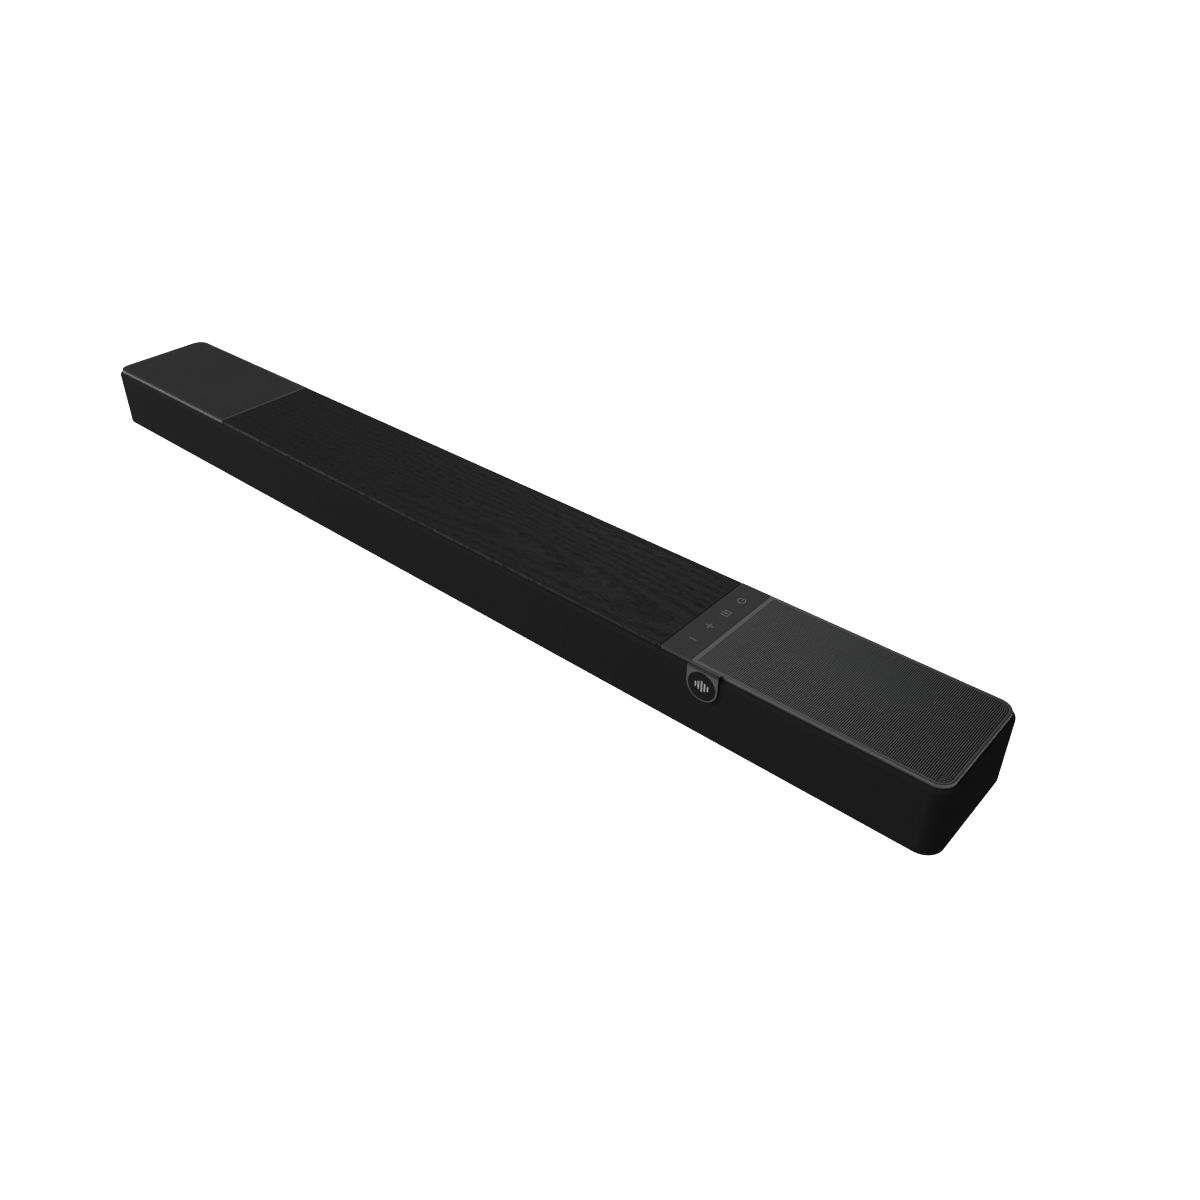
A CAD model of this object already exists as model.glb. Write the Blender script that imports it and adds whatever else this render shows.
import math

import bpy
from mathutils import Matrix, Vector


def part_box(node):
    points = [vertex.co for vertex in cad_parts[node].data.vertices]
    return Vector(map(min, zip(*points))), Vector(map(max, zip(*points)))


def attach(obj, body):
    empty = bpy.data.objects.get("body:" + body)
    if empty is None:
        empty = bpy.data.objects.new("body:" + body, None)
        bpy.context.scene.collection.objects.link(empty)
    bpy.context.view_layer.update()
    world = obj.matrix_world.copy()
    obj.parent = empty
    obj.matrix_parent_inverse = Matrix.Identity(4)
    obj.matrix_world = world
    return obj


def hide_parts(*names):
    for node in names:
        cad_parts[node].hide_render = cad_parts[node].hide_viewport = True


# A soundbar: a cloth-wrapped case with a veneered top, a control strip, two ribbed caps and a badge
# tag. Lengths are in metres. +X runs along the bar to the badge end, -Y faces the listener.
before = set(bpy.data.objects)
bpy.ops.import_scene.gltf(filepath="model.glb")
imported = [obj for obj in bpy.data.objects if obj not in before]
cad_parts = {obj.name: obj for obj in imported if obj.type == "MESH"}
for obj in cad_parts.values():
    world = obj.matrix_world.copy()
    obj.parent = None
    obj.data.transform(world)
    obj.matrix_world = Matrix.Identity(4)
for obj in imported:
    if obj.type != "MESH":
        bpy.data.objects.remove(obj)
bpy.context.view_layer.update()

# ---- Camera ----
# A slightly wide lens, level, beyond the badge end and well above the bar.
CAMERA_AT = (0.7187, -0.6407, 0.6343)
CAMERA_AIM = (-0.5357, 0.6161, -0.5774)
bpy.ops.object.camera_add(location=CAMERA_AT)
camera = bpy.context.object
camera.name = "camera"
camera.rotation_euler = Vector(CAMERA_AIM).to_track_quat("-Z", "Y").to_euler()
camera.data.lens = 32.69
camera.data.shift_x = 0.0146
camera.data.shift_y = -0.0054
bpy.context.scene.camera = camera


# ---- Floor and light ----
# A table of lit opal acrylic, which gives a pure white ground, with soft boxes low on the left, high in
# front and high behind.
FLOOR_SIDE = 60
TENT_R = 25


def linear(code):
    """An sRGB hex colour as linear red, green, blue and alpha."""
    parts = [int(code[i:i + 2], 16) / 255 for i in (1, 3, 5)]
    return [c / 12.92 if c <= 0.04045 else ((c + 0.055) / 1.055) ** 2.4 for c in parts] + [1]


def add(tree, kind, inputs={}, **settings):
    """Adds a shader node with its settings, and sets or links its inputs.

    A Mix node's inputs go by number: 0 is the factor, 2 and 3 are its values, 6 and 7 its colours.
    """
    node = tree.nodes.new("ShaderNode" + kind)
    for name, value in settings.items():
        setattr(node, name, value)
    for name, value in inputs.items():
        if isinstance(value, bpy.types.NodeSocket):
            tree.links.new(value, node.inputs[name])
        else:
            node.inputs[name].default_value = value
    return node


def new_material(name):
    """An empty material and its node tree."""
    material = bpy.data.materials.new(name)
    material.use_nodes = True
    material.node_tree.nodes.clear()
    return material, material.node_tree


def soft_box(name, place, size, watts):
    """A square soft box at a place, turned to face the bar."""
    bpy.ops.object.light_add(type="AREA", location=place)
    light = bpy.context.object
    light.name = name
    light.rotation_euler = (-Vector(place)).to_track_quat("-Z", "Y").to_euler()
    light.data.size = size
    light.data.energy = watts


soft_box("left_soft_box", (-2.6, -1.24, 1.3), 0.9, 34)
soft_box("front_soft_box", (-1.3, -2.3, 2.4), 1.8, 30)
soft_box("back_soft_box", (-0.9, 1.7, 2.2), 1.4, 16)
world = bpy.data.worlds.new("dim_room")
world.use_nodes = True
world.node_tree.nodes["Background"].inputs["Color"].default_value = linear("#ffffff")
world.node_tree.nodes["Background"].inputs["Strength"].default_value = 0.16
bpy.context.scene.world = world
bpy.context.scene.view_settings.view_transform = "Standard"

bpy.ops.mesh.primitive_plane_add(size=FLOOR_SIDE)
floor = bpy.context.object
floor.name = "light_table"
floor.visible_diffuse = False  # so bright a table would fill in the dark walls
opal, tree = new_material("lit_opal_acrylic")
opal_shader = add(tree, "BsdfPrincipled", {
    "Base Color": linear("#bcbcbc"), "Roughness": 0.9, "Specular IOR Level": 0.1,
    "Emission Color": linear("#ffffff"), "Emission Strength": 2.1})
add(tree, "OutputMaterial", {"Surface": opal_shader.outputs[0]})
floor.data.materials.append(opal)

# A white tent round the table closes the view above it, and neither lights nor shades the bar.
bpy.ops.mesh.primitive_uv_sphere_add(segments=48, ring_count=24, radius=TENT_R)
tent = bpy.context.object
tent.name = "white_tent"
tent.visible_diffuse = tent.visible_glossy = tent.visible_transmission = tent.visible_shadow = False
tent.data.materials.append(opal)


# ---- Lower case ----
# The tray that everything is built on: injection-moulded ABS with a fine spark-eroded texture, so it
# is matt and very slightly pebbled. The sound slots of the woofers go through its floor.
PATCHES = 14  # patches of paler and darker plastic, to a metre
DARK_PATCH = 0.86
LIGHT_PATCH = 1.14
PLASTIC_SWING = 0.06  # how far the roughness of a moulded surface strays
MERGE_GAP = 1e-6
FLAT = math.radians(0.5)  # faces that turn by less are one flat
EDGE = math.radians(30)  # faces that turn by more meet in an edge, which is rounded
CASE_EDGE = 0.0004  # the radius of the case's own edges


def moulded_plastic(name, code, roughness, grit, depth, specular=0.5):
    """Moulded plastic whose tool was spark-eroded to that grit, in metres, with bumps that deep."""
    material, tree = new_material(name)
    place = add(tree, "TexCoord").outputs["Object"]
    pebbles = add(tree, "TexNoise", {"Vector": place, "Scale": 1 / grit, "Detail": 2})
    patches = add(tree, "TexNoise", {"Vector": place, "Scale": PATCHES, "Detail": 3})
    dark = [c * DARK_PATCH for c in linear(code)[:3]]
    light = [c * LIGHT_PATCH for c in linear(code)[:3]]
    tone = add(tree, "Mix", {0: patches.outputs["Fac"], 6: [*dark, 1], 7: [*light, 1]}, data_type="RGBA")
    gloss = add(tree, "MapRange", {"Value": pebbles.outputs["Fac"], "To Min": roughness - PLASTIC_SWING,
                                   "To Max": roughness + PLASTIC_SWING})
    bump = add(tree, "Bump", {"Height": pebbles.outputs["Fac"], "Distance": depth, "Strength": 0.6})
    shader = add(tree, "BsdfPrincipled", {"Base Color": tone.outputs[2], "Roughness": gloss.outputs[0],
                                          "Normal": bump.outputs[0], "IOR": 1.5,
                                          "Specular IOR Level": specular})
    add(tree, "OutputMaterial", {"Surface": shader.outputs[0]})
    return material


def rounded_copy(node, name, radius, material, steps=2):
    """A piece that stands for a CAD node: its mesh merged, its flats made whole and its edges rounded."""
    bpy.ops.object.select_all(action="DESELECT")
    piece = bpy.data.objects.new(name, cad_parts[node].data.copy())
    bpy.context.collection.objects.link(piece)
    piece.select_set(True)
    bpy.context.view_layer.objects.active = piece
    piece.data.name = name
    piece.data.materials.clear()
    piece.data.materials.append(material)
    bpy.ops.mesh.customdata_custom_splitnormals_clear()
    bpy.ops.object.mode_set(mode="EDIT")
    bpy.ops.mesh.select_all(action="SELECT")
    bpy.ops.mesh.remove_doubles(threshold=MERGE_GAP)
    bpy.ops.mesh.dissolve_limited(angle_limit=FLAT)
    bpy.ops.object.mode_set(mode="OBJECT")
    round_edges(piece, radius, steps)
    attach(piece, "case")
    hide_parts(node)


def round_edges(piece, radius, steps=2):
    """Rounds the edges that turn by more than EDGE, and smooths the shading."""
    bpy.ops.object.shade_smooth_by_angle(angle=EDGE)
    bevel = piece.modifiers.new("rounding", "BEVEL")
    bevel.width = radius
    bevel.segments = steps
    bevel.limit_method = "ANGLE"
    bevel.angle_limit = EDGE
    bevel.harden_normals = True
    bpy.ops.object.modifier_apply(modifier=bevel.name)


case_abs = moulded_plastic("spark_eroded_abs", "#1c1d1f", 0.55, 0.0006, 0.00004)
rounded_copy("bottom_tray", "lower_case", CASE_EDGE, case_abs)

# ---- Feet ----
# Two long bars of moulded silicone rubber, pegged into the tray: dead matt, with soft edges.
rubber = moulded_plastic("moulded_silicone_rubber", "#161617", 0.75, 0.0009, 0.00003)
for side in ("left", "right"):
    rounded_copy(side + "_foot", side + "_rubber_foot", 0.0008, rubber, steps=3)

# ---- Rear cover, socket bay and sockets ----
# The rear wall is the same moulded ABS as the tray. The sockets stand on the main board's edge and
# reach through the bay's wall: shells of nickel-plated steel, pale and softly mirrored, and bodies of
# glass-filled nylon, black with a faint gloss.
rounded_copy("rear_cover", "rear_wall", CASE_EDGE, case_abs)
rounded_copy("socket_bay", "socket_bay_wall", CASE_EDGE, case_abs)

SHELL_EDGE = 0.00015  # the radius of the sockets' thin edges
METAL_SWING = 0.08  # how far the roughness of a metal's finish strays
GRAIN_TO_BUMP = 40  # the grain is this many times as wide as it is deep


def metal(name, code, roughness, grain, stretch=(1, 1, 1)):
    """Bare or plated metal. The grain, in metres, is how coarse its finish is, squeezed by stretch."""
    material, tree = new_material(name)
    place = add(tree, "TexCoord").outputs["Object"]
    drawn = add(tree, "Mapping", {"Vector": place, "Scale": stretch})
    finish = add(tree, "TexNoise", {"Vector": drawn.outputs[0], "Scale": 1 / grain, "Detail": 3})
    gloss = add(tree, "MapRange", {"Value": finish.outputs["Fac"], "To Min": roughness - METAL_SWING,
                                   "To Max": roughness + METAL_SWING})
    bump = add(tree, "Bump", {"Height": finish.outputs["Fac"], "Distance": grain / GRAIN_TO_BUMP,
                              "Strength": 0.4})
    shader = add(tree, "BsdfPrincipled", {"Base Color": linear(code), "Metallic": 1.0,
                                          "Roughness": gloss.outputs[0], "Normal": bump.outputs[0]})
    add(tree, "OutputMaterial", {"Surface": shader.outputs[0]})
    return material


socket_steel = metal("nickel_plated_steel", "#a9abad", 0.28, 0.0008)
socket_nylon = moulded_plastic("glass_filled_nylon", "#141415", 0.4, 0.0008, 0.00002)
rounded_copy("hdmi_sockets", "hdmi_socket_shells", SHELL_EDGE, socket_steel)
rounded_copy("usb_socket", "usb_socket_shell", SHELL_EDGE, socket_steel)
rounded_copy("optical_socket", "optical_socket_body", SHELL_EDGE, socket_nylon)
rounded_copy("power_inlet", "mains_inlet", 0.0003, socket_nylon)

# ---- Fasteners ----
# Turned brass inserts moulded into the rear wall, warm and bright, and zinc-plated screws up through
# the tray, a duller blue-grey.
brass = metal("turned_brass", "#b8964f", 0.3, 0.0006)
zinc = metal("zinc_plated_steel", "#8d9092", 0.38, 0.0006)
rounded_copy("wall_inserts", "wall_mount_inserts", 0.0002, brass)
rounded_copy("case_screws", "case_screw_set", 0.0003, zinc)


# ---- Inside the case ----
# Pieces that the closed case hides keep their plain shapes, each in its own material: matt plastic and
# paper, dull steel, shiny green boards, pale acetal keys and a bright extruded heat sink.
def dress(material, *nodes):
    """Gives CAD nodes their material."""
    for node in nodes:
        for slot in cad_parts[node].material_slots:
            slot.material = material


SPEAKERS = ["left_woofer", "right_woofer", "front_left", "front_right", "height_left", "height_right"]
inner_abs = moulded_plastic("unpainted_abs", "#26272a", 0.6, 0.0008, 0.00004)
pressed_steel = metal("black_coated_pressed_steel", "#3a3c3f", 0.5, 0.0012)
magnet_steel = metal("zinc_passivated_steel", "#7f8386", 0.42, 0.0015)
cone_paper = moulded_plastic("pressed_paper_pulp", "#1d1e20", 0.85, 0.0011, 0.0001)
surround_rubber = moulded_plastic("butyl_rubber", "#141414", 0.6, 0.001, 0.00002)
board = moulded_plastic("solder_masked_glass_epoxy", "#1b4a30", 0.35, 0.002, 0.00001)
heat_sink = metal("extruded_aluminium", "#b4b7ba", 0.35, 0.0008, (20, 1, 1))
dome_film = moulded_plastic("coated_silk", "#2a2622", 0.5, 0.0006, 0.00003)
key_acetal = moulded_plastic("moulded_acetal", "#d9d9d4", 0.4, 0.001, 0.00001)
dress(inner_abs, "front_baffle", "grille_frame", "top_deck", "tweeter_horn")
dress(pressed_steel, *[speaker + "_basket" for speaker in SPEAKERS])
dress(magnet_steel, "tweeter_motor", *[speaker + "_motor" for speaker in SPEAKERS])
dress(cone_paper, *[speaker + "_cone" for speaker in SPEAKERS])
dress(surround_rubber, *[speaker + "_suspension" for speaker in SPEAKERS])
dress(dome_film, "tweeter_dome")
dress(board, "main_board", "power_board", "control_board")
dress(heat_sink, "heat_sink")
dress(key_acetal, "power_key", "source_key", "volume_up_key", "volume_down_key")
dress(zinc, "driver_screws")

# ---- Grille cloth ----
# One strip of plain-woven polyester, stretched round the front and both ends, rolled over the top
# edge of the grille frame and tucked into the gap beside the deck. It is matt with a little fuzz.
cloth_low, cloth_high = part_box("grille_cloth")
CLOTH_T = 0.0006
SEAM = 0.0003  # between the cloth's ends and the rear cover
CORNER_R = 0.017
ROLL_R = 0.0033  # along the top edge, outside
TURN_R = 0.0003  # where the cloth turns down into the gap
TUCK = 0.002
CORNER_STEPS = 12
ROLL_STEPS = 6
STRETCH_STEP = 0.04  # longest side of a face on the flat stretches
SLACK = 1e-6  # keeps rounding from adding a row
corner_x = cloth_high.x - CORNER_R
corner_y = cloth_high.y - CORNER_R
quarter = CORNER_R * math.pi / 2
rear_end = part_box("rear_cover")[1].x + SEAM
half_length = corner_x + 2 * quarter + 2 * corner_y + corner_x - rear_end
wall_h = cloth_high.z - ROLL_R - cloth_low.z
roll_end = wall_h + ROLL_R * math.pi / 2
turn_end = roll_end + TURN_R * math.pi / 2
cloth_width = turn_end + TUCK


def along_case(u):
    """The point on the case's outline at a distance from its front middle, and the way out there."""
    side = math.copysign(1, u)
    s = abs(u)
    if s < corner_x:
        return Vector((u, cloth_low.y, 0)), Vector((0, -1, 0))
    s -= corner_x
    if s < quarter:
        out = Vector((side * math.sin(s / CORNER_R), -math.cos(s / CORNER_R), 0))
        return Vector((side * corner_x, -corner_y, 0)) + CORNER_R * out, out
    s -= quarter
    if s < 2 * corner_y:
        return Vector((side * cloth_high.x, s - corner_y, 0)), Vector((side, 0, 0))
    s -= 2 * corner_y
    if s < quarter:
        out = Vector((side * math.cos(s / CORNER_R), math.sin(s / CORNER_R), 0))
        return Vector((side * corner_x, corner_y, 0)) + CORNER_R * out, out
    return Vector((side * (corner_x - s + quarter), cloth_high.y, 0)), Vector((0, 1, 0))


def up_cloth(v):
    """How far in from the outline and how high the cloth is, at a distance up from its lower edge."""
    if v <= wall_h:
        return 0, cloth_low.z + v
    roll_z = cloth_high.z - ROLL_R
    if v <= roll_end:
        turn = (v - wall_h) / ROLL_R
        return ROLL_R * (1 - math.cos(turn)), roll_z + ROLL_R * math.sin(turn)
    if v <= turn_end:
        turn = (v - roll_end) / TURN_R
        return ROLL_R + TURN_R * math.sin(turn), cloth_high.z - TURN_R * (1 - math.cos(turn))
    return ROLL_R + TURN_R, cloth_high.z - TURN_R - (v - turn_end)


def stations(*stretches):
    """Where the cloth's rows or columns go: each stretch is (start, end, longest step)."""
    at = [stretches[0][0]]
    for start, end, step in stretches:
        count = max(1, math.ceil((end - start) / step - SLACK))
        at += [start + (end - start) * (i + 1) / count for i in range(count)]
    return at


corner_step = quarter / CORNER_STEPS
front_end = corner_x + quarter
side_end = front_end + 2 * corner_y
rear_start = half_length - (corner_x - rear_end)
half = stations((0, corner_x, STRETCH_STEP), (corner_x, front_end, corner_step),
                (front_end, side_end, STRETCH_STEP), (side_end, rear_start, corner_step),
                (rear_start, half_length, STRETCH_STEP))
columns = [-u for u in reversed(half[1:])] + half
rows = stations((0, wall_h, STRETCH_STEP / 2), (wall_h, roll_end, ROLL_R * math.pi / 2 / ROLL_STEPS),
                (roll_end, turn_end, TURN_R), (turn_end, cloth_width, TUCK))
points = []
for u in columns:
    on_case, out = along_case(u)
    for v in rows:
        inward, height = up_cloth(v)
        points.append(on_case - out * inward + Vector((0, 0, height)))
tall = len(rows)
faces = [(i * tall + j, (i + 1) * tall + j, (i + 1) * tall + j + 1, i * tall + j + 1)
         for i in range(len(columns) - 1) for j in range(tall - 1)]
cloth_mesh = bpy.data.meshes.new("stretched_cloth")
cloth_mesh.from_pydata(points, [], faces)
thread_map = cloth_mesh.uv_layers.new(name="threads")
for loop in cloth_mesh.loops:
    column, row = divmod(loop.vertex_index, tall)
    thread_map.data[loop.index].uv = columns[column], rows[row]
cloth = bpy.data.objects.new("stretched_cloth", cloth_mesh)
bpy.context.collection.objects.link(cloth)
bpy.ops.object.select_all(action="DESELECT")
cloth.select_set(True)
bpy.context.view_layer.objects.active = cloth
shell = cloth.modifiers.new("thickness", "SOLIDIFY")
shell.thickness = CLOTH_T
shell.offset = -1
bpy.ops.object.modifier_apply(modifier=shell.name)
bpy.ops.object.shade_smooth_by_angle(angle=math.radians(40))

# Real threads lie 0.5 mm apart. They are drawn 1 mm apart, so that the weave can be made out.
THREAD_PITCH = 0.001
SLUBS = 260  # thick and thin places along the threads, to a metre
weave, tree = new_material("plain_woven_polyester")
threads = add(tree, "UVMap", uv_map="threads")
across = add(tree, "VectorMath", {0: threads.outputs[0], 1: (math.pi / THREAD_PITCH,) * 3},
             operation="MULTIPLY")
slubs = add(tree, "TexNoise", {"Vector": threads.outputs[0], "Scale": SLUBS, "Detail": 2})
sine = add(tree, "VectorMath", {0: across.outputs[0]}, operation="SINE")
split = add(tree, "SeparateXYZ", {0: sine.outputs[0]})
crossing = add(tree, "Math", {0: split.outputs["X"], 1: split.outputs["Y"]}, operation="MULTIPLY")
over = add(tree, "MapRange", {"Value": crossing.outputs[0], "From Min": -0.2, "From Max": 0.2})
warp = add(tree, "Math", {0: split.outputs["X"]}, operation="ABSOLUTE")
weft = add(tree, "Math", {0: split.outputs["Y"]}, operation="ABSOLUTE")
height = add(tree, "Mix", {0: over.outputs[0], 2: weft.outputs[0], 3: warp.outputs[0]})
fullness = add(tree, "MapRange", {"Value": slubs.outputs["Fac"], "To Min": 0.4, "To Max": 0.6})
uneven = add(tree, "Math", {0: height.outputs[0], 1: fullness.outputs[0]}, operation="MULTIPLY")
tone = add(tree, "Mix", {0: uneven.outputs[0], 6: linear("#1f1f1f"), 7: linear("#434344")},
           data_type="RGBA")
relief = add(tree, "Bump", {"Height": height.outputs[0], "Distance": 0.00012, "Strength": 0.5})
shader = add(tree, "BsdfPrincipled", {"Base Color": tone.outputs[2], "Roughness": 0.85,
                                      "Normal": relief.outputs[0], "Specular IOR Level": 0.0,
                                      "Sheen Weight": 0.03, "Sheen Roughness": 0.6,
                                      "Sheen Tint": linear("#bdbdbf")})
add(tree, "OutputMaterial", {"Surface": shader.outputs[0]})
cloth.data.materials.append(weave)
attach(cloth, "case")
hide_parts("grille_cloth")

# ---- Top panel ----
# A board faced with ash veneer, its edges eased, stained black and left open-pored under a matt oil:
# long grain with dark pores, faint growth bands that run out in arches, and a dull sheen.
BAND_PITCH = 0.0075  # growth bands on the panel's face
BAND_STRETCH = 0.075  # how much less the bands change along the bar, so that they run out in arches
ARCH_AT = (0.01, 0.012, 0)
RINGS_TURN = 20  # the wave texture turns this much to a unit, so its rings are tau / 20 apart
PORE_L = 0.011
PORE_W = 0.00055  # real pores are 0.3 mm wide, and are drawn wider so that they show
SWAYS = (5, 18, 1)  # waves in the grain, to a metre
SWAY_DEPTH = 0.03
FIBRES = (30, 900, 1)  # to a metre
veneer, tree = new_material("black_stained_ash_veneer")
place = add(tree, "TexCoord").outputs["Object"]
along_sways = add(tree, "Mapping", {"Vector": place, "Scale": SWAYS})
sway = add(tree, "TexNoise", {"Vector": along_sways.outputs[0], "Scale": 1, "Detail": 2})
swayed = add(tree, "VectorMath", {0: sway.outputs["Color"], 1: (0, SWAY_DEPTH, 0), 2: place},
             operation="MULTIPLY_ADD")
arches = add(tree, "Mapping", {"Vector": swayed.outputs[0], "Location": ARCH_AT,
                               "Scale": (BAND_STRETCH, 1, 0)})
bands = add(tree, "TexWave", {"Vector": arches.outputs[0], "Scale": math.tau / RINGS_TURN / BAND_PITCH},
            wave_type="RINGS", rings_direction="Z")
drawn = add(tree, "Mapping", {"Vector": swayed.outputs[0], "Scale": (1 / PORE_L, 1 / PORE_W, 1)})
pores = add(tree, "TexNoise", {"Vector": drawn.outputs[0], "Scale": 1, "Detail": 2, "Roughness": 0.6})
along_fibres = add(tree, "Mapping", {"Vector": place, "Scale": FIBRES})
fibres = add(tree, "TexNoise", {"Vector": along_fibres.outputs[0], "Scale": 1, "Detail": 3})
rows_of_pores = add(tree, "Math", {0: bands.outputs["Fac"], 1: 0.16, 2: 0.40}, operation="MULTIPLY_ADD")
open_pores = add(tree, "MapRange", {"Value": pores.outputs["Fac"], "From Min": rows_of_pores.outputs[0],
                                    "From Max": 0.68})
band_tone = add(tree, "Mix", {0: bands.outputs["Fac"], 6: linear("#1a1a1a"), 7: linear("#141414")},
                data_type="RGBA")
fibre_tone = add(tree, "Mix", {0: fibres.outputs["Fac"], 6: band_tone.outputs[2], 7: linear("#202020")},
                 data_type="RGBA")
tone = add(tree, "Mix", {0: open_pores.outputs[0], 6: fibre_tone.outputs[2], 7: linear("#0a0a0a")},
           data_type="RGBA")
gloss = add(tree, "MapRange", {"Value": open_pores.outputs[0], "To Min": 0.5, "To Max": 0.8})
sunk = add(tree, "Math", {0: fibres.outputs["Fac"], 1: open_pores.outputs[0]}, operation="SUBTRACT")
relief = add(tree, "Bump", {"Height": sunk.outputs[0], "Distance": 0.00008, "Strength": 0.8})
shader = add(tree, "BsdfPrincipled", {"Base Color": tone.outputs[2], "Roughness": gloss.outputs[0],
                                      "IOR": 1.45, "Normal": relief.outputs[0],
                                      "Specular IOR Level": 0.15})
add(tree, "OutputMaterial", {"Surface": shader.outputs[0]})

low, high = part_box("wood_top_panel")
bpy.ops.object.select_all(action="DESELECT")
bpy.ops.mesh.primitive_cube_add(size=1, location=(low + high) / 2, scale=high - low)
bpy.ops.object.transform_apply(location=True, rotation=True, scale=True)
top_panel = bpy.context.object
top_panel.name = "veneered_top_panel"
round_edges(top_panel, 0.0006, 3)
top_panel.data.materials.append(veneer)
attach(top_panel, "case")
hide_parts("wood_top_panel")

# ---- Control strip ----
# Moulded ABS sprayed with a soft-touch lacquer, even and velvety. The marks are pad-printed in grey.
strip_paint = moulded_plastic("soft_touch_lacquered_abs", "#222223", 0.55, 0.0012, 0.00001, 0.32)
print_ink = moulded_plastic("pad_printed_ink", "#8c8d8e", 0.5, 0.0008, 0.00001)
rounded_copy("control_panel", "control_strip", 0.0003, strip_paint)
rounded_copy("control_icons", "control_marks", 0.00004, print_ink, steps=1)

# ---- Ribbed caps ----
# Satin moulded ABS over the up-firing drivers. The ribs run across the bar and bend round the outer
# corners, inside a flat rim with a fine bead along its edge.
cap_abs = moulded_plastic("satin_moulded_abs", "#3c3c3d", 0.42, 0.0007, 0.00001)
SLOT_TONE = 0.25  # the slots keep the tool's matt texture and read darker than the buffed tops
TOP_LAYER = 0.0004  # how far down the buffing reaches
tree = cap_abs.node_tree
cap_shader = next(node for node in tree.nodes if node.type == "BSDF_PRINCIPLED")
cap_tone = cap_shader.inputs["Base Color"].links[0].from_socket
depth = add(tree, "SeparateXYZ", {0: add(tree, "TexCoord").outputs["Object"]})
cap_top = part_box("left_ribbed_cap")[1].z
buffed = add(tree, "MapRange", {"Value": depth.outputs["Z"], "From Min": cap_top - 2 * TOP_LAYER,
                                "From Max": cap_top - TOP_LAYER, "To Min": SLOT_TONE, "To Max": 1})
shaded = add(tree, "VectorMath", {0: cap_tone, 1: buffed.outputs[0]}, operation="MULTIPLY")
tree.links.new(shaded.outputs[0], cap_shader.inputs["Base Color"])
for side in ("left", "right"):
    rounded_copy(side + "_ribbed_cap", side + "_ribbed_top", 0.00022, cap_abs)

# ---- Badge ----
# A strip of bead-blasted, anodised aluminium folded down over the cloth: dark grey, with a soft light
# along its bend. A black lacquered disc is let into it, with an emblem of five level bars in pale grey.
anodised = metal("bead_blasted_anodised_aluminium", "#303030", 0.36, 0.0005)
lacquer = moulded_plastic("gloss_lacquer", "#0d0d0d", 0.3, 0.003, 0.000005, 0.02)
rounded_copy("badge_tag", "folded_tag", 0.0002, anodised, steps=3)
rounded_copy("badge_disc", "lacquered_disc", 0.0001, lacquer)
emblem_ink = moulded_plastic("pad_printed_white_ink", "#c4c5c6", 0.5, 0.0008, 0.00001)
rounded_copy("badge_emblem", "level_bar_emblem", 0.00004, emblem_ink, steps=1)
